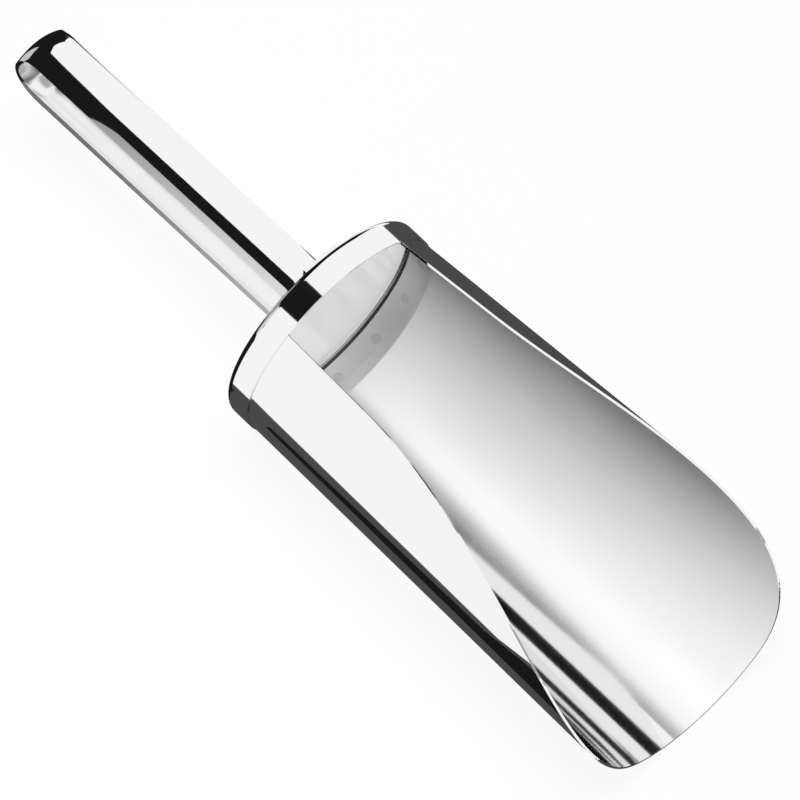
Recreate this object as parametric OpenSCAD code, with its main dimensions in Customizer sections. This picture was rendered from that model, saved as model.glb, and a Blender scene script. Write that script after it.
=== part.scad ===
// Bulk scoop: a flared sheet blade seated in a drawn end cap, with a hairpin strip handle.
// Lengths are in millimetres and angles in degrees.
// X runs forward to the lip, Z is up, and the origin is on the table under the middle of the scoop.

/* [End cap] */
// Outside diameter of the cap's skirt
cap_d = 80; // [70:1:100]
// Depth from the cap's back face to the front edge of its skirt
cap_depth = 10; // [8:0.5:14]
// Sheet thickness of the cap
cap_sheet = 0.6; // [0.4:0.1:1]
// Outside radius of the rounded rim between back and skirt
cap_rim_r = 2.5; // [1.6:0.1:3.5]
// Forward lean of the cap's top as the scoop rests on a table
cap_lean = 2.8; // [0:0.1:5]

/* [Blade] */
// Length of the blade from the skirt's front edge to the lip
blade_l = 158.5; // [120:0.5:200]
// Sheet thickness of the blade
blade_sheet = 0.8; // [0.5:0.1:1.2]
// Half angle of the blade's flare towards the lip
blade_flare = 1.95; // [0.5:0.05:4]
// Height of the mouth's straight edges above the blade's axis
mouth_h = 31; // [24:0.5:33]
// Length of the mouth's straight edges ahead of the skirt
mouth_run = 40; // [20:1:70]
// Depth of the lip's corners below the blade's axis
lip_drop = 36; // [20:0.5:40]
// Step by which the blade is wider than its collar, at the skirt's front edge
shoulder = 0.15; // [0.1:0.05:0.3]
// Gap all round between the blade's collar and the cap's skirt
collar_fit = 0.05; // [0.02:0.01:0.15]
// Gap between the collar's rear edge and the start of the rounded rim
collar_gap = 0.1; // [0:0.1:1.5]

/* [Handle] */
// Length of the handle from the cap's back to the crest of its rear bend
handle_l = 132; // [110:0.1:160]
// Width of the handle strip across its edges
strip_w = 17; // [14:0.5:20]
// Thickness of the handle strip
strip_t = 1.5; // [1:0.1:2]
// Height of the arch above the strip's edges along the legs
strip_crown = 3.4; // [2.4:0.1:4.2]
// Height of the arch that is left at the back of the rear bend
bend_crown = 0.6; // [0.4:0.1:2]
// Width of the strip there, where its arch is flattened out
bend_w = 18; // [15:0.1:21]
// Outside height of the loop across the strip's edges
loop_h = 20; // [16:0.5:24]
// Height of the loop's middle above the cap's centre
handle_up = 1.9; // [-4:0.1:4]
// Upward slope of the handle towards its rear
handle_rise = 1; // [0:0.1:4]
// Width of the feet, where the strip's arch is flattened out
foot_w = 18.4; // [15:0.1:21]
// Outside radius of the bend between each leg and its foot
foot_bend_r = 4; // [2.5:0.1:5]
// Radius of the feet's end corners
foot_corner_r = 3; // [1:0.1:5]
// Margin between the feet's corners and the start of the rounded rim
foot_margin = 0.3; // [0.1:0.1:3]

/* [Welds] */
// Diameter of the spot welds joining collar and skirt
seam_weld_d = 3.5; // [2:0.1:4]
// Distance of those welds behind the skirt's front edge
seam_weld_back = 2.2; // [2.1:0.1:3]
// Angle from the blade's lowest line to the first weld on each side
seam_weld_start = 7; // [5:0.5:12]
// Angle from one of those welds to the next
seam_weld_step = 26; // [14:0.5:30]
// Diameter of the spot welds joining feet and cap
foot_weld_d = 4; // [2:0.1:5]
// Depth to which a weld reaches into the cap
weld_bite = 0.3; // [0.1:0.05:0.35]
// Depth of the dimple over each weld
weld_dimple = 0.1; // [0:0.05:0.3]
// Gap round each weld
weld_fit = 0.02; // [0.01:0.01:0.05]

/* [Hidden] */
$fn = 96;

steel_tint = [0.80, 0.81, 0.82];
weld_tint = [0.62, 0.63, 0.65];

// Number of seam welds on each side of the lowest line
seam_weld_count = 4;
// Number of straight pieces in the mouth's curve
mouth_pieces = 48;
// Number of straight pieces across the strip and round its bend
across_pieces = 20;
bend_pieces = 36;

cap_r = cap_d / 2;
skirt_inner_r = cap_r - cap_sheet;
collar_r = skirt_inner_r - collar_fit;
collar_inner_r = collar_r - blade_sheet;
collar_l = cap_depth - cap_rim_r - collar_gap;
blade_r = collar_r + shoulder;
lip_r = blade_r + blade_l * tan(blade_flare);

// The blade is tipped up until its lip and the skirt's edge touch the table together.
skirt_drop = cap_r * cos(cap_lean);
blade_rise = atan2(lip_r, blade_l) - asin(skirt_drop / sqrt(blade_l * blade_l + lip_r * lip_r));

// The strip's section is an arc through both edges and the crown.
function arc_r(width, crown) = (width * width / 4 + crown * crown) / (2 * crown);
function arc_angle(width, crown) = asin(width / 2 / arc_r(width, crown));
arch_r = arc_r(strip_w, strip_crown);
arch_angle = arc_angle(strip_w, strip_crown);
arch_centre = loop_h / 2 + strip_crown - arch_r;
leg_crest = loop_h / 2 + strip_crown;
bend_crest = loop_h / 2 + bend_crown;
leg_l = handle_l - bend_crest;

// The feet end where the flat of the cap's back does.
foot_end = sqrt(pow(cap_r - cap_rim_r - foot_margin, 2) - pow(foot_w / 2 - foot_corner_r, 2));

// Where the middle of the loop meets the cap's back
grip_start = [
    handle_up * sin(cap_lean) - cap_depth * cos(cap_lean),
    0,
    handle_up * cos(cap_lean) + cap_depth * sin(cap_lean)
];

front_x = blade_l * cos(blade_rise) + lip_r * sin(blade_rise);
rear_x = grip_start[0] - leg_l * cos(handle_rise) - bend_crest;
mid_x = (front_x + rear_x) / 2;

// Size of the blocks that trim the sheet pieces
block = 2 * (blade_l + handle_l);
// Overlap that keeps joined shapes and cuts from ending on the same face
lap = 0.2;

module placed() {
    translate([-mid_x, 0, skirt_drop]) children();
}

module in_cap() {
    rotate([0, cap_lean, 0]) children();
}

module in_blade() {
    rotate([0, -blade_rise, 0]) children();
}

module in_handle() {
    translate(grip_start) rotate([0, handle_rise, 0]) children();
}

// Turns a shape drawn along Z to lie along X.
module along_x() {
    rotate([0, 90, 0]) children();
}

// Turns an extrusion so that its drawing stands in the YZ plane and its depth runs along X.
module facing_x() {
    rotate([90, 0, 90]) children();
}

module cup_outline(radius, depth, rim) {
    square([radius - rim, depth]);
    translate([0, rim]) square([radius, depth - rim]);
    translate([radius - rim, rim]) circle(rim);
}

module cup() {
    along_x() translate([0, 0, -cap_depth]) rotate_extrude()
        intersection() {
            square([cap_d, cap_depth]);
            difference() {
                cup_outline(cap_r, cap_depth, cap_rim_r);
                translate([0, cap_sheet])
                    cup_outline(skirt_inner_r, cap_depth, cap_rim_r - cap_sheet);
            }
        }
}

// Everything behind the cap's back face
module behind_cap() {
    in_cap() translate([-cap_depth - block, -block / 2, -block / 2]) cube(block);
}

module collar() {
    in_cap() along_x() translate([0, 0, -collar_l])
        difference() {
            cylinder(h = collar_l + lap, r = collar_r);
            translate([0, 0, -1]) cylinder(h = collar_l + 2, r = collar_inner_r);
        }
}

module flared_tube() {
    intersection() {
        in_blade() along_x() translate([0, 0, -cap_depth])
            difference() {
                cylinder(
                    h = blade_l + cap_depth,
                    r1 = blade_r - cap_depth * tan(blade_flare),
                    r2 = lip_r
                );
                translate([0, 0, -1])
                    cylinder(
                        h = blade_l + cap_depth + 2,
                        r1 = blade_r - blade_sheet - (cap_depth + 1) * tan(blade_flare),
                        r2 = lip_r - blade_sheet + tan(blade_flare)
                    );
            }
        in_cap() translate([0, -block / 2, -block / 2]) cube(block);
    }
}

// The space above the mouth's edges, from behind the collar to ahead of the lip
module mouth_cut() {
    curve = [
        for (i = [0 : mouth_pieces])
            let (turn = 90 * i / mouth_pieces)
            [
                mouth_run + (blade_l - mouth_run) * sin(turn),
                (mouth_h + lip_drop) * cos(turn) - lip_drop
            ]
    ];
    ends = [
        [blade_l + cap_depth, -lip_drop],
        [blade_l + cap_depth, 2 * lip_r],
        [-2 * cap_depth, 2 * lip_r],
        [-2 * cap_depth, mouth_h]
    ];
    in_blade() rotate([90, 0, 0])
        linear_extrude(height = 4 * lip_r, center = true) polygon(concat(curve, ends));
}

// Pins for the seam welds, from one radius to another, in the cap's frame
module seam_pins(from_r, to_r, d) {
    in_cap()
        for (side = [-1, 1], i = [0 : seam_weld_count - 1])
            rotate([side * (seam_weld_start + i * seam_weld_step), 0, 0])
                translate([-seam_weld_back, 0, -to_r])
                    cylinder(h = to_r - from_r, d = d, $fn = 32);
}

// Pins for the foot welds, from one distance behind the skirt's edge to another, in the cap's frame
module foot_pins(from_x, to_x, d) {
    in_cap()
        for (side = [-1, 1], across = [-1, 1])
            translate([from_x, across * foot_w / 4, foot_middle(side)])
                along_x() cylinder(h = to_x - from_x, d = d, $fn = 32);
}

// Height of a foot's middle above the cap's centre, for the upper or the lower foot
function foot_middle(side) = (handle_up + side * (leg_crest + foot_bend_r + foot_end)) / 2;

// One ring of points round the strip, ahead of the bend's axis by x and turned round that axis
function strip_ring(x, turn) =
    let (
        arched = cos(turn) * cos(turn),
        crown = bend_crown + (strip_crown - bend_crown) * arched,
        width = bend_w + (strip_w - bend_w) * arched,
        outer = arc_r(width, crown),
        inner = outer - strip_t,
        centre = loop_h / 2 + crown - outer,
        arcs = [for (i = [0 : across_pieces]) (2 * i / across_pieces - 1) * arc_angle(width, crown)],
        section = concat(
            [for (arc = arcs) [centre + outer * cos(arc), outer * sin(arc)]],
            [for (arc = arcs) [centre + inner * cos(arc), -inner * sin(arc)]]
        )
    )
    [for (p = section) [x - p[0] * sin(turn), p[0] * cos(turn), p[1]]];

// The strip bent double, from ahead of the cap's back round the bend and forward again.
// Its arch flattens out towards the back of the bend.
module hairpin() {
    ring_size = 2 * (across_pieces + 1);
    rings = concat(
        [strip_ring(leg_l + cap_depth, 0)],
        [for (i = [0 : bend_pieces]) strip_ring(0, 180 * i / bend_pieces)],
        [strip_ring(leg_l + cap_depth, 180)]
    );
    points = [for (ring = rings) each ring];
    sides = [
        for (i = [0 : len(rings) - 2], j = [0 : ring_size - 1])
            let (here = i * ring_size, next = here + ring_size, k = (j + 1) % ring_size)
            each [[here + j, next + k, next + j], [here + j, here + k, next + k]]
    ];
    upper_end = [for (j = [1 : ring_size]) ring_size - j];
    lower_end = [for (j = [0 : ring_size - 1]) len(points) - ring_size + j];
    translate([-leg_l, 0, 0]) rotate([90, 0, 0])
        polyhedron(points, concat(sides, [upper_end, lower_end]));
}

// Outline of a foot on the cap's back, drawn upwards from the loop's middle
module foot_outline(end) {
    // The outline starts and is hollowed within the thickness of the leg's strip.
    start = loop_h / 2 - strip_t / 4;
    difference() {
        union() {
            translate([-foot_w / 2, start]) square([foot_w, end - foot_corner_r - start]);
            translate([foot_corner_r - foot_w / 2, start])
                square([foot_w - 2 * foot_corner_r, end - start]);
            for (across = [-1, 1])
                translate([across * (foot_w / 2 - foot_corner_r), end - foot_corner_r])
                    circle(foot_corner_r);
        }
        translate([0, arch_centre]) circle(arch_r - strip_t / 2);
    }
}

// The upper foot, or with side = -1 the lower one
module foot(side) {
    in_cap() translate([-cap_depth - strip_t, 0, handle_up])
        facing_x() linear_extrude(height = strip_t)
            rotate(side < 0 ? 180 : 0) foot_outline(foot_end - side * handle_up);
}

// The bend that fills the corner between a leg and its foot
module foot_bend(side) {
    bend_start = -strip_t - foot_bend_r;
    bend_angle = arch_angle - asin(strip_t / 2 / arch_r);
    in_cap() translate([-cap_depth, 0, handle_up]) rotate([side < 0 ? 180 : 0, 0, 0])
        intersection() {
            translate([0, 0, arch_centre]) facing_x() rotate([0, 0, 90 - bend_angle])
                rotate_extrude(angle = 2 * bend_angle)
                    difference() {
                        translate([arch_r - strip_t / 2, bend_start])
                            square(foot_bend_r + strip_t / 2);
                        translate([arch_r + foot_bend_r, bend_start]) circle(foot_bend_r);
                    }
            translate([-block / 2, -foot_w / 2, -block / 2]) cube([block, foot_w, block]);
        }
}

module blade() {
    color(steel_tint) placed()
        difference() {
            union() {
                flared_tube();
                collar();
            }
            mouth_cut();
            seam_pins(collar_inner_r - 1, collar_r + 1, seam_weld_d + 2 * weld_fit);
        }
}

module end_cap() {
    color(steel_tint) placed()
        difference() {
            in_cap() cup();
            seam_pins(collar_r - 1, skirt_inner_r + weld_bite, seam_weld_d + 2 * weld_fit);
            foot_pins(-cap_depth - 1, weld_bite - cap_depth, foot_weld_d + 2 * weld_fit);
        }
}

module handle() {
    color(steel_tint) placed()
        difference() {
            union() {
                intersection() {
                    in_handle() hairpin();
                    behind_cap();
                }
                for (side = [-1, 1]) {
                    foot(side);
                    foot_bend(side);
                }
            }
            foot_pins(-cap_depth - strip_t - 1, 1 - cap_depth, foot_weld_d + 2 * weld_fit);
        }
}

module blade_welds() {
    color(weld_tint) placed()
        seam_pins(collar_inner_r + weld_dimple, skirt_inner_r + weld_bite - weld_fit, seam_weld_d);
}

module foot_welds() {
    color(weld_tint) placed()
        foot_pins(
            weld_dimple - cap_depth - strip_t, weld_bite - weld_fit - cap_depth, foot_weld_d
        );
}

blade();
end_cap();
handle();
blade_welds();
foot_welds();
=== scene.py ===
import math

import bmesh
import bpy
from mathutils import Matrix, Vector


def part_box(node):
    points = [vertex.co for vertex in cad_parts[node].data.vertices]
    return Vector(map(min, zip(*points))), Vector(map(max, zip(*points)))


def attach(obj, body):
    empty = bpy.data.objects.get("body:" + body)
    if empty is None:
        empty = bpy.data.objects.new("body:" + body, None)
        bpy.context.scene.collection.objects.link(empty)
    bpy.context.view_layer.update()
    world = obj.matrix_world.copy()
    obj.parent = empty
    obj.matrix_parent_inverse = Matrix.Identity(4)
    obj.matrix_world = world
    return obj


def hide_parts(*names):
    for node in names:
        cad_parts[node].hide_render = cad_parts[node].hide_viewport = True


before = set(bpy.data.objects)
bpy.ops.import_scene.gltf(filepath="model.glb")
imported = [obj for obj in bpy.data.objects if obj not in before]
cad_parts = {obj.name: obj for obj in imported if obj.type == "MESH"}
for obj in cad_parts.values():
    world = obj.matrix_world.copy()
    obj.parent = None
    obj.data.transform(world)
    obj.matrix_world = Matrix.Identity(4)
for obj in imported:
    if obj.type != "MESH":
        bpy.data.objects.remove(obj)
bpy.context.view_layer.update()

# Lengths are written in millimetres and used in metres, and angles are written in degrees.
MM = 0.001
QUARTER_TURN = math.radians(90)
HALF_TURN = math.radians(180)
ORIGIN = Vector((0, 0, 0))

# End cap: a shallow drawn cup whose open side faces the blade.
CAP_RADIUS = 40 * MM
CAP_DEPTH = 10 * MM
CAP_SHEET = 0.6 * MM
CAP_RIM_RADIUS = 2.5 * MM
CAP_LEAN = math.radians(2.8)
CAP_SIDES = 256
CAP_RIM_STEPS = 12
CAP_FLAT_MARGIN = 0.6 * MM
CAP_MERGE = 0.005 * MM

# Blade: a flared trough with a collar that sits inside the cap's skirt.
BLADE_LENGTH = 158.5 * MM
BLADE_SHEET = 0.8 * MM
BLADE_FLARE = math.radians(1.95)
BLADE_SIDES = 288
BLADE_ROWS = 18
COLLAR_FIT = 0.05 * MM
COLLAR_GAP = 0.1 * MM
SHOULDER_STEP = 0.15 * MM
SHOULDER_RUN = 0.4 * MM
MOUTH_HEIGHT = 31 * MM
MOUTH_RUN = 40 * MM
LIP_DROP = 36 * MM
MOUTH_CUTS = 72
BLADE_MERGE = 0.02 * MM

# Handle: one arched strip, bent into a hairpin and opened out into two flat feet.
HANDLE_LENGTH = 132 * MM
HANDLE_UP = 1.9 * MM
HANDLE_RISE = math.radians(1)
STRIP_WIDTH = 17 * MM
STRIP_SHEET = 1.5 * MM
STRIP_CROWN = 3.4 * MM
BEND_CROWN = 0.6 * MM
BEND_WIDTH = 18 * MM
LOOP_HALF = 10 * MM
FOOT_WIDTH = 18.4 * MM
FOOT_MARGIN = 0.3 * MM
FOOT_BEND_RADIUS = 4 * MM
FOOT_CORNER_RADIUS = 3 * MM
STRIP_COLUMNS = 40
LEG_STEPS = 24
BEND_STEPS = 60
FOOT_BEND_STEPS = 16
CORNER_CUTS = 8
CORNER_CUT_MARGIN = 0.1 * MM
STRIP_MERGE = 0.01 * MM

# Spot welds, each a shallow mark that is dished in rings.
SEAM_WELD_RADIUS = 1.75 * MM
SEAM_WELD_BACK = 2.2 * MM
SEAM_WELD_START = math.radians(7)
SEAM_WELD_STEP = math.radians(26)
SEAM_WELD_PAIRS = 4
FOOT_WELD_RADIUS = 2 * MM
WELD_PROUD = 0.06 * MM
WELD_DISH = 0.04 * MM
WELD_DEPTH = 0.4 * MM
WELD_SIDES = 48
WELD_RINGS = 4
WELD_SMOOTH_ANGLE = math.radians(40)
WELD_MERGE = 0.001 * MM

# Sharp edges of the sheet metal are broken by a small rounding.
BLADE_EDGE_ROUND = 0.2 * MM
CAP_EDGE_ROUND = 0.12 * MM
STRIP_EDGE_ROUND = 0.35 * MM
EDGE_ROUND_STEPS = 3
SHARP_ANGLE = math.radians(50)

# Distance within which a point counts as lying on a plane or a line.
TOUCH = 0.001 * MM

# Finishes of the bare steel, with its polishing lines and cloudy patches counted to the metre.
STEEL_SHADE = 0.9
WELD_SHADE = 0.76
STEEL_BLUE = 1.005
GRAIN_LINES = (60, 1500, 1500)
GRAIN_HEIGHT = 0.02 * MM
SHEET_GRAIN = 0.03
WELD_GRAIN = 0.4
SMUDGES = (45, 60, 60)
SMUDGE_START = 0.1
SMUDGE_FULL = 0.9
SMUDGE_LOW = 0.88
SMUDGE_HIGH = 1.12
SHEET_ROUGH = 0.05
STRIP_ROUGH = 0.21
WELD_ROUGH = 0.35

# The trough's inside turns from mirror to satin across its width, and the cap's inside on its back wall.
SATIN_EDGE = 0.5 * MM
SATIN_SLANT = 1.6
SATIN_START = 0.0
SATIN_FULL = 0.2
SATIN_SHARE = 0.88
BLUR_START = -0.24
BLUR_FULL = -0.04
NEAR_ROUGH = 0.07
FAR_ROUGH = 0.36
CUP_ROUGH = 0.2
# Painted shadow: the colour of the cap's inner skirt and corner, darkened as if in the shade of the gap
# behind the collar.
CUP_CORNER_PAINTED_SHADOW = 0.06

# How squarely the cap's inside faces the mouth where its wall starts and ends, and where the painted
# shadow on its skirt and corner fades into the full tone.
WALL_START = 0.85
WALL_FULL = 0.99
SHADOW_FADE_START = 0.55
SHADOW_FADE_END = 0.98

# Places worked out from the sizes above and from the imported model.
collar_radius = CAP_RADIUS - CAP_SHEET - COLLAR_FIT
collar_length = CAP_DEPTH - CAP_RIM_RADIUS - COLLAR_GAP
blade_radius = collar_radius + SHOULDER_STEP
lip_radius = blade_radius + BLADE_LENGTH * math.tan(BLADE_FLARE)
skirt_drop = CAP_RADIUS * math.cos(CAP_LEAN)
lip_slope = math.atan2(lip_radius, BLADE_LENGTH)
lip_reach = math.hypot(BLADE_LENGTH, lip_radius)
blade_rise = lip_slope - math.asin(skirt_drop / lip_reach)
collar_tilt = blade_rise + CAP_LEAN
cap_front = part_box("end_cap")[1].x
cap_place = Vector((cap_front - CAP_RADIUS * math.sin(CAP_LEAN), 0, skirt_drop))

arch_radius = (STRIP_WIDTH ** 2 / 4 + STRIP_CROWN ** 2) / (2 * STRIP_CROWN)
arch_angle = math.asin(STRIP_WIDTH / 2 / arch_radius)
arch_centre = LOOP_HALF + STRIP_CROWN - arch_radius
leg_length = HANDLE_LENGTH - LOOP_HALF - BEND_CROWN
handle_tilt = CAP_LEAN - HANDLE_RISE
foot_bend_end = LOOP_HALF + STRIP_CROWN + FOOT_BEND_RADIUS
foot_corner_side = FOOT_WIDTH / 2 - FOOT_CORNER_RADIUS
foot_reach = math.sqrt((CAP_RADIUS - CAP_RIM_RADIUS - FOOT_MARGIN) ** 2 - foot_corner_side ** 2)
grip_offset = Vector((
    HANDLE_UP * math.sin(CAP_LEAN) - CAP_DEPTH * math.cos(CAP_LEAN),
    0,
    HANDLE_UP * math.cos(CAP_LEAN) + CAP_DEPTH * math.sin(CAP_LEAN),
))


def tipped(angle, x, z):
    """The point (x, z) of a side view after a turn about the Y axis."""
    return Vector((
        x * math.cos(angle) + z * math.sin(angle),
        0,
        z * math.cos(angle) - x * math.sin(angle),
    ))


def smooth_step(share):
    return share * share * (3 - 2 * share)


# Modelling steps that every piece uses

def start_piece(name):
    """Names the primitive that was just added and opens it in edit mode, with its place in its mesh."""
    piece = bpy.context.object
    piece.name = name
    piece.data.name = name
    bpy.ops.object.transform_apply(location=True, rotation=True, scale=True)
    bpy.ops.object.mode_set(mode="EDIT")
    bpy.ops.mesh.select_mode(type="VERT")
    bpy.ops.mesh.select_all(action="DESELECT")
    return piece


def pick_vertices(piece, wanted):
    """Selects the vertices whose place answers the test, with the edges and faces between them."""
    bpy.ops.mesh.select_mode(type="VERT")
    bpy.ops.mesh.select_all(action="DESELECT")
    shape = bmesh.from_edit_mesh(piece.data)
    for vertex in shape.verts:
        vertex.select = wanted(vertex.co)
    shape.select_flush(True)
    bmesh.update_edit_mesh(piece.data)


def pick_edges(piece, wanted):
    """Selects the edges whose two ends answer the test."""
    bpy.ops.mesh.select_mode(type="EDGE")
    bpy.ops.mesh.select_all(action="DESELECT")
    shape = bmesh.from_edit_mesh(piece.data)
    for edge in shape.edges:
        edge.select = wanted(edge.verts[0].co, edge.verts[1].co)
    shape.select_flush_mode()
    bmesh.update_edit_mesh(piece.data)


def move(offset):
    bpy.ops.transform.translate(value=offset)


def turn(angle, centre):
    """Turns the selection about the Y axis, in the sense of an object's own rotation."""
    bpy.ops.transform.rotate(value=-angle, orient_axis="Y", center_override=centre)


def stretch(factors, centre):
    bpy.ops.transform.resize(value=factors, center_override=centre)


def extrude_edges(offset):
    """Draws new faces out of the selected edges and leaves the new edges selected."""
    bpy.ops.mesh.extrude_edges_move(TRANSFORM_OT_translate={"value": offset})


def close_mesh(merge_distance):
    """Merges what lies together and turns every face outwards."""
    bpy.ops.mesh.select_all(action="SELECT")
    bpy.ops.mesh.remove_doubles(threshold=merge_distance)
    bpy.ops.mesh.normals_make_consistent(inside=False)
    bpy.ops.object.mode_set(mode="OBJECT")


def thicken(piece, thickness, outside, inside):
    """Gives a sheet its wall, inwards from the modelled face, and a finish for each side."""
    piece.data.materials.append(outside)
    piece.data.materials.append(inside)
    bpy.ops.object.modifier_add(type="SOLIDIFY")
    wall = piece.modifiers[-1]
    wall.thickness = thickness
    wall.offset = -1
    wall.use_even_offset = True
    wall.material_offset = 1
    bpy.ops.object.modifier_apply(modifier=wall.name)


def round_edges(piece, radius):
    """Breaks the sharp edges and lets the large faces keep their own shading up to them."""
    bpy.ops.object.modifier_add(type="BEVEL")
    rounding = piece.modifiers[-1]
    rounding.width = radius
    rounding.segments = EDGE_ROUND_STEPS
    rounding.limit_method = "ANGLE"
    rounding.angle_limit = SHARP_ANGLE
    bpy.ops.object.modifier_apply(modifier=rounding.name)
    bpy.ops.object.shade_smooth()
    bpy.ops.object.modifier_add(type="WEIGHTED_NORMAL")
    shading = piece.modifiers[-1]
    shading.keep_sharp = True
    bpy.ops.object.modifier_apply(modifier=shading.name)


def place(piece, angle, spot):
    """Tips a finished piece about the Y axis, moves it to its spot and leaves its object at the origin."""
    piece.rotation_euler = (0, angle, 0)
    piece.location = spot
    bpy.ops.object.transform_apply(location=True, rotation=True, scale=True)


# End cap

def make_end_cap():
    """A disc drawn forward into a skirt, with a rounded rim, in the cap's own frame."""
    bpy.ops.object.select_all(action="DESELECT")
    bpy.ops.mesh.primitive_circle_add(
        vertices=CAP_SIDES, radius=CAP_RADIUS, fill_type="NGON",
        location=(-CAP_DEPTH, 0, 0), rotation=(0, QUARTER_TURN, 0))
    cap = start_piece("end_cap_cup")
    pick_edges(cap, lambda a, b: True)
    extrude_edges((CAP_DEPTH, 0, 0))
    pick_edges(cap, lambda a, b: max(a.x, b.x) < -CAP_DEPTH / 2)
    bpy.ops.mesh.bevel(offset=CAP_RIM_RADIUS, segments=CAP_RIM_STEPS, affect="EDGES")
    flat_radius = CAP_RADIUS - CAP_RIM_RADIUS
    pick_vertices(cap, lambda p: math.hypot(p.y, p.z) < flat_radius + CAP_MERGE)
    bpy.ops.mesh.inset(thickness=CAP_FLAT_MARGIN)
    close_mesh(CAP_MERGE)
    thicken(cap, CAP_SHEET, polished_sheet, mill_inside_painted_shadow)
    round_edges(cap, CAP_EDGE_ROUND)
    place(cap, CAP_LEAN, cap_place)
    return cap


# Blade

def mouth_cuts():
    """A point and an outward direction for each flat cut of the mouth, in the blade's frame."""
    rise = MOUTH_HEIGHT + LIP_DROP
    run = BLADE_LENGTH - MOUTH_RUN
    for step in range(MOUTH_CUTS):
        share = QUARTER_TURN * step / MOUTH_CUTS
        point = (MOUTH_RUN + run * math.sin(share), 0, rise * math.cos(share) - LIP_DROP)
        outward = Vector((math.sin(share) / run, 0, math.cos(share) / rise)).normalized()
        yield point, outward


def make_blade():
    """A ring drawn along the collar, widened at the shoulder, flared out to the lip and cut open."""
    collar_axis = tipped(collar_tilt, 1, 0)
    bpy.ops.object.select_all(action="DESELECT")
    bpy.ops.mesh.primitive_circle_add(
        vertices=BLADE_SIDES, radius=collar_radius, fill_type="NOTHING",
        location=-collar_length * collar_axis, rotation=(0, QUARTER_TURN + collar_tilt, 0))
    blade = start_piece("scoop_blade")
    pick_edges(blade, lambda a, b: True)
    extrude_edges((collar_length - SHOULDER_RUN / 2) * collar_axis)
    extrude_edges(SHOULDER_RUN * collar_axis)
    widening = blade_radius / collar_radius
    stretch((widening, widening, widening), SHOULDER_RUN / 2 * collar_axis)
    extrude_edges((0, 0, 0))
    turn(-collar_tilt, ORIGIN)
    move((BLADE_LENGTH - SHOULDER_RUN / 2, 0, 0))
    flare = lip_radius / blade_radius
    stretch((1, flare, flare), (BLADE_LENGTH, 0, 0))
    pick_edges(blade, lambda a, b: abs(a.x - b.x) > BLADE_LENGTH / 2)
    bpy.ops.mesh.subdivide(number_cuts=BLADE_ROWS)
    for point, outward in mouth_cuts():
        bpy.ops.mesh.select_all(action="SELECT")
        bpy.ops.mesh.bisect(plane_co=point, plane_no=outward, clear_outer=True, threshold=TOUCH)
    close_mesh(BLADE_MERGE)
    thicken(blade, BLADE_SHEET, polished_sheet, satin_inside)
    round_edges(blade, BLADE_EDGE_ROUND)
    place(blade, -blade_rise, cap_place)
    return blade


# Handle

def draw_foot(handle, side):
    """Bends the end of a leg outwards along the cap's back and flattens it into a foot.

    side is 1 for the upper foot and -1 for the lower one. The leg's end row is selected.
    """
    centre = foot_bend_centre(side)
    edge_level = (0, 0, side * LOOP_HALF)
    full_turn = -side * QUARTER_TURN + handle_tilt
    turned = 0
    arch_left = 1
    width_now = STRIP_WIDTH
    for step in range(1, FOOT_BEND_STEPS + 1):
        share = smooth_step(step / FOOT_BEND_STEPS)
        arch_wanted = 1 - share
        width_wanted = STRIP_WIDTH + (FOOT_WIDTH - STRIP_WIDTH) * share
        extrude_edges((0, 0, 0))
        turn(-turned, centre)
        stretch((1, width_wanted / width_now, arch_wanted / arch_left), edge_level)
        turned = full_turn * step / FOOT_BEND_STEPS
        turn(turned, centre)
        arch_left = arch_wanted
        width_now = width_wanted
    along_foot = side * tipped(handle_tilt, 0, 1)
    foot_length = foot_reach - side * HANDLE_UP - foot_bend_end
    extrude_edges(foot_length * along_foot)
    cut_foot_corners(handle, side, along_foot)


def foot_bend_centre(side):
    """Centre of the bend between a leg and its foot, in the handle's frame."""
    height = side * foot_bend_end
    back = foot_bend_end - LOOP_HALF + STRIP_SHEET
    x = (height * math.sin(handle_tilt) - back) / math.cos(handle_tilt)
    return Vector((x, 0, height))


def cut_foot_corners(handle, side, along_foot):
    """Rounds the two corners at a foot's end by flat cuts along each corner's arc."""
    corner_level = foot_reach - side * HANDLE_UP - FOOT_CORNER_RADIUS
    foot_line = side * foot_bend_end
    for hand in (-1, 1):
        for step in range(1, CORNER_CUTS):
            angle = QUARTER_TURN * step / CORNER_CUTS
            outward = math.sin(angle) * along_foot + math.cos(angle) * Vector((0, hand, 0))
            corner = corner_level * along_foot + Vector((0, hand * foot_corner_side, 0))
            pick_vertices(handle, lambda p: side * (p.z - foot_line) > -CORNER_CUT_MARGIN)
            bpy.ops.mesh.bisect(
                plane_co=corner + FOOT_CORNER_RADIUS * outward, plane_no=outward,
                clear_outer=True, threshold=TOUCH)


def draw_leg(run):
    """Draws the strip straight along X, in steps that keep its shading even."""
    for step in range(LEG_STEPS):
        extrude_edges((run / LEG_STEPS, 0, 0))


def draw_rear_bend():
    """Draws the strip round the rear bend, where its arch flattens out and comes back."""
    centre = (-leg_length, 0, 0)
    edge_level = (0, 0, LOOP_HALF)
    turned = 0
    crown_now = STRIP_CROWN
    width_now = STRIP_WIDTH
    for step in range(1, BEND_STEPS + 1):
        angle = -HALF_TURN * step / BEND_STEPS
        arched = math.cos(angle) ** 2
        crown_wanted = BEND_CROWN + (STRIP_CROWN - BEND_CROWN) * arched
        width_wanted = BEND_WIDTH + (STRIP_WIDTH - BEND_WIDTH) * arched
        extrude_edges((0, 0, 0))
        turn(-turned, centre)
        stretch((1, width_wanted / width_now, crown_wanted / crown_now), edge_level)
        turn(angle, centre)
        turned = angle
        crown_now = crown_wanted
        width_now = width_wanted


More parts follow.
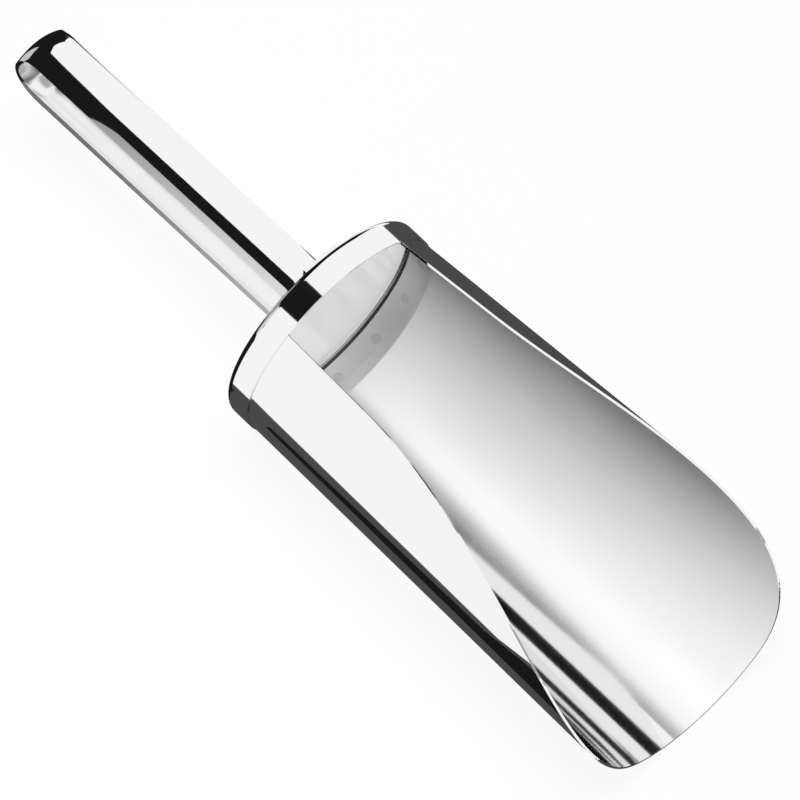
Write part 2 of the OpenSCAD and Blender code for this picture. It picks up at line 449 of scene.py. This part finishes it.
def make_handle():
    """An arched edge swept down one leg, round the bend and back, then out into both feet."""
    upper_end = foot_bend_centre(1).x
    lower_end = foot_bend_centre(-1).x
    bpy.ops.object.select_all(action="DESELECT")
    bpy.ops.mesh.primitive_plane_add(size=STRIP_SHEET, location=(upper_end, -STRIP_WIDTH / 2, LOOP_HALF))
    handle = start_piece("hairpin_handle")
    bpy.ops.mesh.select_all(action="SELECT")
    bpy.ops.mesh.merge(type="CENTER")
    bpy.ops.mesh.spin(
        steps=STRIP_COLUMNS, angle=2 * arch_angle, center=(upper_end, 0, arch_centre), axis=(1, 0, 0))
    pick_edges(handle, lambda a, b: True)
    draw_leg(-leg_length - upper_end)
    draw_rear_bend()
    draw_leg(leg_length + lower_end)
    draw_foot(handle, -1)
    pick_vertices(handle, lambda p: abs(p.x - upper_end) < TOUCH and p.z > 0)
    draw_foot(handle, 1)
    close_mesh(STRIP_MERGE)
    thicken(handle, STRIP_SHEET, polished_sheet, strip_inside)
    round_edges(handle, STRIP_EDGE_ROUND)
    place(handle, HANDLE_RISE, cap_place + grip_offset)
    return handle


# Spot welds

def start_weld(name, radius):
    """One weld lying flat with its mark on top: a short plug with a dished, rounded face."""
    bpy.ops.object.select_all(action="DESELECT")
    bpy.ops.mesh.primitive_circle_add(
        vertices=WELD_SIDES, radius=radius, fill_type="NGON", location=(0, 0, -WELD_DEPTH))
    weld = start_piece(name)
    bpy.ops.mesh.select_all(action="SELECT")
    bpy.ops.mesh.extrude_region_move(TRANSFORM_OT_translate={"value": (0, 0, WELD_DEPTH + WELD_PROUD)})
    slopes = range(WELD_RINGS, 0, -1)
    for slope in slopes:
        bpy.ops.mesh.inset(thickness=radius / (WELD_RINGS + 1))
        move((0, 0, -WELD_DISH * slope / sum(slopes)))
    close_mesh(WELD_MERGE)
    bpy.ops.object.shade_smooth_by_angle(angle=WELD_SMOOTH_ANGLE)
    return weld


def copy_weld(weld, turn_angles, spot):
    """A separate copy of the weld, turned and moved to its spot."""
    bpy.ops.object.select_all(action="DESELECT")
    copy = weld.copy()
    copy.data = weld.data.copy()
    bpy.context.scene.collection.objects.link(copy)
    copy.rotation_euler = turn_angles
    copy.location = spot
    copy.select_set(True)
    bpy.context.view_layer.objects.active = copy
    bpy.ops.object.transform_apply(location=True, rotation=True, scale=True)
    return copy


def make_seam_welds():
    """The marks round the collar's inner face."""
    weld = start_weld("seam_weld_marks", SEAM_WELD_RADIUS)
    floor_level = collar_radius - BLADE_SHEET
    bpy.ops.object.mode_set(mode="EDIT")
    bpy.ops.mesh.select_all(action="SELECT")
    move((-SEAM_WELD_BACK, 0, -floor_level))
    bpy.ops.object.mode_set(mode="OBJECT")
    copies = []
    for pair in range(SEAM_WELD_PAIRS):
        for hand in (-1, 1):
            angle = hand * (SEAM_WELD_START + pair * SEAM_WELD_STEP)
            copies.append(copy_weld(weld, (angle, CAP_LEAN, 0), cap_place))
    bpy.data.objects.remove(weld)
    return finish_welds("seam_weld_marks", copies)


def make_foot_welds():
    """The marks on the rear faces of the two feet."""
    weld = start_weld("foot_weld_marks", FOOT_WELD_RADIUS)
    copies = []
    for side in (1, -1):
        foot_middle = (HANDLE_UP + side * (foot_bend_end + foot_reach)) / 2
        for hand in (-1, 1):
            spot = cap_place + tipped(CAP_LEAN, -CAP_DEPTH - STRIP_SHEET, foot_middle)
            spot.y = hand * FOOT_WIDTH / 4
            copies.append(copy_weld(weld, (0, CAP_LEAN - QUARTER_TURN, 0), spot))
    bpy.data.objects.remove(weld)
    return finish_welds("foot_weld_marks", copies)


def finish_welds(name, copies):
    """Joins the separate welds into one piece and gives it its finish."""
    bpy.ops.object.select_all(action="DESELECT")
    for copy in copies:
        copy.select_set(True)
    welds = copies[0]
    bpy.context.view_layer.objects.active = welds
    bpy.ops.object.join()
    welds.name = name
    welds.data.name = name
    welds.data.materials.append(weld_finish)
    return welds


# Finishes

def add_node(tree, kind, **settings):
    node = tree.nodes.new(kind)
    for name, value in settings.items():
        setattr(node, name, value)
    return node


def math_node(tree, operation, first, second):
    """One step of arithmetic on two values, each a number or another node's output."""
    node = add_node(tree, "ShaderNodeMath", operation=operation)
    for socket, value in zip(node.inputs, (first, second)):
        if isinstance(value, (int, float)):
            socket.default_value = value
        else:
            tree.links.new(value, socket)
    return node.outputs["Value"]


def ramp_node(tree, value, start, end, low, high):
    """A soft change from low at start to high at end."""
    node = add_node(tree, "ShaderNodeMapRange", interpolation_type="SMOOTHSTEP")
    node.inputs["From Min"].default_value = start
    node.inputs["From Max"].default_value = end
    node.inputs["To Min"].default_value = low
    node.inputs["To Max"].default_value = high
    tree.links.new(value, node.inputs["Value"])
    return node.outputs["Result"]


def noise_node(tree, coordinates, stretch_by):
    """Soft random values from 0 to 1, with so many changes to the metre along each axis."""
    mapping = add_node(tree, "ShaderNodeMapping")
    mapping.inputs["Scale"].default_value = stretch_by
    tree.links.new(coordinates, mapping.inputs["Vector"])
    noise = add_node(tree, "ShaderNodeTexNoise")
    noise.inputs["Scale"].default_value = 1
    noise.inputs["Detail"].default_value = 1
    tree.links.new(mapping.outputs["Vector"], noise.inputs["Vector"])
    return noise.outputs["Fac"]


def bare_steel(name, shade, grain):
    """Steel with fine polishing lines along the piece.

    Gives the material with its tree, its shader and its texture coordinates.
    """
    material = bpy.data.materials.new(name)
    material.use_nodes = True
    tree = material.node_tree
    shader = tree.nodes["Principled BSDF"]
    shader.inputs["Base Color"].default_value = (shade, shade, shade * STEEL_BLUE, 1)
    shader.inputs["Metallic"].default_value = 1
    coordinates = add_node(tree, "ShaderNodeTexCoord")
    bump = add_node(tree, "ShaderNodeBump")
    bump.inputs["Strength"].default_value = grain
    bump.inputs["Distance"].default_value = GRAIN_HEIGHT
    tree.links.new(noise_node(tree, coordinates.outputs["Object"], GRAIN_LINES), bump.inputs["Height"])
    tree.links.new(bump.outputs["Normal"], shader.inputs["Normal"])
    return material, tree, shader, coordinates


def smudged(tree, coordinates, roughness):
    """A roughness that varies a little in cloudy patches, as handled steel does."""
    patches = noise_node(tree, coordinates.outputs["Object"], SMUDGES)
    clouds = ramp_node(tree, patches, SMUDGE_START, SMUDGE_FULL, SMUDGE_LOW, SMUDGE_HIGH)
    return math_node(tree, "MULTIPLY", clouds, roughness)


def polished_steel(name, roughness, shade, grain):
    material, tree, shader, coordinates = bare_steel(name, shade, grain)
    tree.links.new(smudged(tree, coordinates, roughness), shader.inputs["Roughness"])
    return material


def trough_steel(name):
    """The inside of the blade: bright along the near wall and satin on the far one.

    Reflections still find the far wall bright, so that the near wall mirrors it crisply.
    """
    material, tree, shader, coordinates = bare_steel(name, STEEL_SHADE, SHEET_GRAIN)
    split = add_node(tree, "ShaderNodeSeparateXYZ")
    tree.links.new(coordinates.outputs["Object"], split.inputs["Vector"])
    along = split.outputs["X"]
    across = math_node(tree, "DIVIDE", split.outputs["Y"], blade_radius)
    slanted = math_node(tree, "ADD", across, math_node(tree, "MULTIPLY", along, SATIN_SLANT))
    path = add_node(tree, "ShaderNodeLightPath")
    seen = path.outputs["Is Camera Ray"]
    in_front = ramp_node(tree, along, cap_front - SATIN_EDGE, cap_front + SATIN_EDGE, 0, 1)
    far_half = ramp_node(tree, slanted, SATIN_START, SATIN_FULL, 0, 1)
    satin = math_node(tree, "MULTIPLY", math_node(tree, "MULTIPLY", far_half, in_front), seen)
    mirror = math_node(tree, "SUBTRACT", 1, math_node(tree, "MULTIPLY", satin, SATIN_SHARE))
    tree.links.new(mirror, shader.inputs["Metallic"])
    blur = math_node(tree, "MULTIPLY", ramp_node(tree, across, BLUR_START, BLUR_FULL, 0, 1), seen)
    blur = math_node(tree, "MULTIPLY", blur, FAR_ROUGH - NEAR_ROUGH)
    roughness = math_node(tree, "ADD", blur, NEAR_ROUGH)
    tree.links.new(smudged(tree, coordinates, roughness), shader.inputs["Roughness"])
    return material


def cup_steel(name):
    """The inside of the cap: bright polish with a painted shadow round the skirt, and satin on the wall
    that faces the mouth.
    """
    material, tree, shader, coordinates = bare_steel(name, STEEL_SHADE, SHEET_GRAIN)
    split = add_node(tree, "ShaderNodeSeparateXYZ")
    tree.links.new(coordinates.outputs["Normal"], split.inputs["Vector"])
    on_wall = ramp_node(tree, split.outputs["X"], WALL_START, WALL_FULL, 0, 1)
    path = add_node(tree, "ShaderNodeLightPath")
    satin = math_node(tree, "MULTIPLY", on_wall, path.outputs["Is Camera Ray"])
    mirror = math_node(tree, "SUBTRACT", 1, math_node(tree, "MULTIPLY", satin, SATIN_SHARE))
    tree.links.new(mirror, shader.inputs["Metallic"])
    # Painted shadow: the colour falls to near black from the back wall into the corner and the skirt.
    shade = ramp_node(tree, split.outputs["X"], SHADOW_FADE_START, SHADOW_FADE_END, CUP_CORNER_PAINTED_SHADOW, STEEL_SHADE)
    tree.links.new(shade, shader.inputs["Base Color"])
    blur = math_node(tree, "MULTIPLY", on_wall, FAR_ROUGH - CUP_ROUGH)
    roughness = math_node(tree, "ADD", blur, CUP_ROUGH)
    tree.links.new(smudged(tree, coordinates, roughness), shader.inputs["Roughness"])
    return material


def dress(piece, slot, *nodes):
    """Hangs a piece under the root body and hides the imported parts that it stands for."""
    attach(piece, "root")
    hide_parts(*nodes)


polished_sheet = polished_steel("polished_sheet", SHEET_ROUGH, STEEL_SHADE, SHEET_GRAIN)
satin_inside = trough_steel("satin_inside")
# The cap's inside carries a painted shadow on its skirt and corner.
mill_inside_painted_shadow = cup_steel("mill_inside_painted_shadow")
strip_inside = polished_steel("strip_inside", STRIP_ROUGH, STEEL_SHADE, SHEET_GRAIN)
weld_finish = polished_steel("spot_weld_steel", WELD_ROUGH, WELD_SHADE, WELD_GRAIN)

dress(make_end_cap(), "polished_steel", "end_cap")
dress(make_blade(), "polished_steel", "blade")
dress(make_handle(), "polished_steel", "handle")
dress(make_seam_welds(), "weld_steel", "blade_welds")
dress(make_foot_welds(), "weld_steel", "foot_welds")


# Studio, with its lengths in metres

TABLE_HALF = 3.0
TABLE_LEVEL = -0.3 * MM
TABLE_WHITE = (0.9, 0.9, 0.9, 1)
TABLE_ROUGH = 0.9
TABLE_GLOW_SHARE = 0.75
TENT_WHITE = (1, 1, 1, 1)
TENT_SOFT_LIGHT = 0.12
LAMP_REACH = 2.0

# Cards hang over the scoop, stand beside it and lie under it, and only reflections show them.
BLACK_CARD = 0.01
DARK_CARD = 0.07
GREY_CARD = 0.4
LIGHT_CARD = 0.6
LOW_CARD_FADE = (0.18, 0.5)
SIDE_CARD_FADE = (0.36, 0.8)
CARD_LEVEL = 0.45
MAT_LEVEL = -0.1 * MM
CARD_FAR_EDGE = -0.055
CARD_NEAR_EDGE = -0.34
CARD_FRONT = 0.16
CARD_SPLIT = -0.08
SPLIT_NEAR_END = -0.31
ROOM_REAR = -2.5
SIDE_CARD_Y = -0.06
FADE_REAR = -0.15
FADE_FRONT = -0.03
FIRST_GLANCE = 1


def blend_shaders(tree, share, first, second):
    """Mixes two shaders by a share and links the mix to the material's output."""
    blend = add_node(tree, "ShaderNodeMixShader")
    tree.links.new(share, blend.inputs["Fac"])
    tree.links.new(first, blend.inputs[1])
    tree.links.new(second, blend.inputs[2])
    tree.links.new(blend.outputs["Shader"], tree.nodes["Material Output"].inputs["Surface"])


def make_table():
    """A table that takes the scoop's shadow and looks white to the camera and in mirrors."""
    bpy.ops.object.select_all(action="DESELECT")
    bpy.ops.mesh.primitive_plane_add(size=2 * TABLE_HALF, location=(0, 0, TABLE_LEVEL))
    table = bpy.context.object
    table.name = "table_top"
    finish = bpy.data.materials.new("white_table")
    finish.use_nodes = True
    tree = finish.node_tree
    matt = tree.nodes["Principled BSDF"]
    matt.inputs["Base Color"].default_value = TABLE_WHITE
    matt.inputs["Roughness"].default_value = TABLE_ROUGH
    light = add_node(tree, "ShaderNodeEmission")
    path = add_node(tree, "ShaderNodeLightPath")
    to_camera = math_node(tree, "MULTIPLY", path.outputs["Is Camera Ray"], TABLE_GLOW_SHARE)
    glow_share = math_node(tree, "ADD", to_camera, path.outputs["Is Glossy Ray"])
    blend_shaders(tree, glow_share, matt.outputs["BSDF"], light.outputs["Emission"])
    table.data.materials.append(finish)


def card_finish(name, strength):
    """A card that glows evenly, at one level of grey."""
    material = bpy.data.materials.new(name)
    material.use_nodes = True
    tree = material.node_tree
    light = add_node(tree, "ShaderNodeEmission")
    light.inputs["Strength"].default_value = strength
    tree.links.new(light.outputs["Emission"], tree.nodes["Material Output"].inputs["Surface"])
    return material


def fading_finish(name, rear_strength, front_strength):
    """A card that grows lighter along the handle, from its rear to the cap."""
    material = card_finish(name, front_strength)
    tree = material.node_tree
    coordinates = add_node(tree, "ShaderNodeTexCoord")
    split = add_node(tree, "ShaderNodeSeparateXYZ")
    tree.links.new(coordinates.outputs["Object"], split.inputs["Vector"])
    strength = ramp_node(tree, split.outputs["X"], FADE_REAR, FADE_FRONT, rear_strength, front_strength)
    tree.links.new(strength, tree.nodes["Emission"].inputs["Strength"])
    return material


def second_glance_finish(name, strength):
    """A card that the first reflection looks through and the later ones show."""
    material = card_finish(name, strength)
    tree = material.node_tree
    path = add_node(tree, "ShaderNodeLightPath")
    later = math_node(tree, "GREATER_THAN", path.outputs["Ray Depth"], FIRST_GLANCE + 0.5)
    clear = add_node(tree, "ShaderNodeBsdfTransparent")
    blend_shaders(tree, later, clear.outputs["BSDF"], tree.nodes["Emission"].outputs["Emission"])
    return material


def hang_card(name, material, corners):
    """A flat card through the given corners, seen only in reflections."""
    mesh = bpy.data.meshes.new(name)
    mesh.from_pydata(corners, [], [range(len(corners))])
    mesh.materials.append(material)
    card = bpy.data.objects.new(name, mesh)
    bpy.context.scene.collection.objects.link(card)
    card.visible_camera = False
    card.visible_diffuse = False
    card.visible_shadow = False
    card.visible_transmission = False


def flat_card(name, material, level, outline):
    """A level card with the given outline."""
    hang_card(name, material, [(x, y, level) for x, y in outline])


def cross_card(name, material, x, outline):
    """An upright card across the length of the scoop, with the given outline of Y and Z."""
    hang_card(name, material, [(x, y, z) for y, z in outline])


def side_card(name, material, outline):
    """An upright card along the handle, on its near side, with the given outline of X and Z."""
    hang_card(name, material, [(x, SIDE_CARD_Y, z) for x, z in outline])


def make_cards():
    """The cards over the scoop, beside and across its handle, and on the table."""
    black = card_finish("black_card", BLACK_CARD)
    dark = card_finish("dark_mat", DARK_CARD)
    grey = card_finish("grey_card", GREY_CARD)
    light = card_finish("light_card", LIGHT_CARD)
    dark_fading = fading_finish("dark_fading_card", *LOW_CARD_FADE)
    grey_fading = fading_finish("grey_fading_card", *SIDE_CARD_FADE)
    black_later = second_glance_finish("black_card_in_second_glance", BLACK_CARD)

    flat_card("card_over_handle", black, CARD_LEVEL, [
        (CARD_SPLIT, CARD_FAR_EDGE), (-0.27, CARD_FAR_EDGE), (-0.37, 0.09), (-0.46, 0.2), (-0.55, 0.8),
        (ROOM_REAR, 1.5), (ROOM_REAR, -1.0), (-0.75, -1.0), (-0.53, -0.9), (-0.38, -0.49),
        (-0.325, -0.36), (-0.22, CARD_NEAR_EDGE), (CARD_SPLIT, SPLIT_NEAR_END)])
    flat_card("card_over_blade", black_later, CARD_LEVEL, [
        (CARD_FRONT, CARD_FAR_EDGE), (CARD_SPLIT, CARD_FAR_EDGE),
        (CARD_SPLIT, SPLIT_NEAR_END), (CARD_FRONT, -0.29)])
    flat_card("card_beyond_edge", grey, CARD_LEVEL, [
        (-0.07, 0.17), (0.24, 0.175), (0.7, 0.385), (1.5, 0.6), (1.5, 1.2), (0.3, 0.6), (-0.07, 0.4)])

    side_card("low_card_beside_handle", dark_fading, [
        (-0.22, 0), (-0.14, 0), (-0.125, 0.035), (-0.05, 0.035), (-0.05, 0.06), (-0.22, 0.06)])
    seam_low = (-0.14, 0.065)
    seam_high = (-0.137, 0.118)
    side_card("card_beside_handle", grey_fading, [seam_low, (-0.04, 0.065), (-0.04, 0.118), seam_high])
    side_card("black_card_beside_handle", black, [(-0.22, 0.065), seam_low, seam_high, (-0.22, 0.14)])

    cross_card("card_behind_handle", black, -0.6, [
        (-0.75, 0), (0.8, 0), (0.8, CARD_LEVEL), (-0.75, CARD_LEVEL)])
    cross_card("light_behind_handle", light, -0.59, [
        (-0.16, 0), (0.05, 0), (0.05, 0.12), (-0.16, 0.12)])
    cross_card("card_left_of_handle", black, -0.035, [
        (-0.07, 0), (-0.014, 0), (-0.014, 0.054), (-0.05, 0.07), (-0.07, 0.072)])
    cross_card("card_right_of_handle", dark, -0.045, [
        (0.03, 0), (0.3, 0), (0.3, 0.045), (0.03, 0.045)])

    flat_card("mat_under_scoop", dark, MAT_LEVEL, [
        (-0.35, 0.9), (-0.225, 0.55), (-0.07, 0.11), (-0.07, -0.02), (-0.05, -0.083), (0.082, -0.083),
        (0.095, -0.1), (0.2, -0.1), (0.2, 0.9)])
    flat_card("strip_on_mat", black, 0, [
        (-0.018, -0.055), (-0.018, -0.062), (0.08, -0.073), (0.092, -0.085), (0.105, -0.09),
        (0.2, -0.09), (0.2, -0.055)])
    flat_card("mat_behind_handle", black, MAT_LEVEL, [
        (-0.6, -0.1), (-0.13, -0.1), (-0.13, -0.015), (-0.158, -0.01), (-0.158, 0.04), (-0.2, 0.06),
        (-0.222, 0.1), (-0.222, 0.16), (-0.35, 0.6), (-0.6, 0.6)])
    flat_card("light_spot_behind_handle", light, 0, [
        (-0.24, -0.06), (-0.24, 0.01), (-0.59, 0.05), (-0.59, -0.16)])


def make_tent():
    """A white tent round the table. Matt surfaces take less light from it than mirrors show."""
    world = bpy.data.worlds.new("white_tent")
    bpy.context.scene.world = world
    world.use_nodes = True
    tree = world.node_tree
    tent = tree.nodes["Background"]
    tent.inputs["Color"].default_value = TENT_WHITE
    path = add_node(tree, "ShaderNodeLightPath")
    in_mirror = math_node(tree, "LESS_THAN", path.outputs["Diffuse Depth"], 0.5)
    level = math_node(tree, "MULTIPLY", in_mirror, 1 - TENT_SOFT_LIGHT)
    tree.links.new(math_node(tree, "ADD", level, TENT_SOFT_LIGHT), tent.inputs["Strength"])


def hang_lamp(name, power, size, spot, casts_shadow):
    """A round soft lamp that points at the scoop, which mirrors do not show."""
    lamp_data = bpy.data.lights.new(name, "AREA")
    lamp_data.shape = "DISK"
    lamp_data.size = size
    lamp_data.energy = power
    lamp_data.use_shadow = casts_shadow
    lamp = bpy.data.objects.new(name, lamp_data)
    lamp.location = spot
    lamp.rotation_euler = Vector(spot).to_track_quat("Z", "Y").to_euler()
    lamp.visible_glossy = False
    lamp.visible_camera = False
    bpy.context.scene.collection.objects.link(lamp)


make_table()
make_cards()
make_tent()

# The front lamp lies below the table's level, and reaches the scoop because it casts no shadow.
hang_lamp("key_lamp", power=8, size=1.0, spot=(0, 0, LAMP_REACH), casts_shadow=True)
hang_lamp("fill_lamp", power=33, size=1.0, spot=(0, -0.1, LAMP_REACH), casts_shadow=False)
hang_lamp("front_lamp", power=30, size=0.3, spot=(LAMP_REACH, 0, -0.16), casts_shadow=False)

# Camera at the photograph's place
CAMERA_SPOT = (0.541821, -0.574261, 1.428343)
CAMERA_TURN = (29.0747, -1.8646, 45.6883)
CAMERA_LENS = 229.013
CAMERA_SENSOR = 36

camera_data = bpy.data.cameras.new("photo_camera")
camera_data.sensor_fit = "HORIZONTAL"
camera_data.sensor_width = CAMERA_SENSOR
camera_data.lens = CAMERA_LENS
camera = bpy.data.objects.new("photo_camera", camera_data)
camera.location = CAMERA_SPOT
camera.rotation_euler = [math.radians(angle) for angle in CAMERA_TURN]
bpy.context.scene.collection.objects.link(camera)
bpy.context.scene.camera = camera

bpy.context.scene.view_settings.view_transform = "Standard"
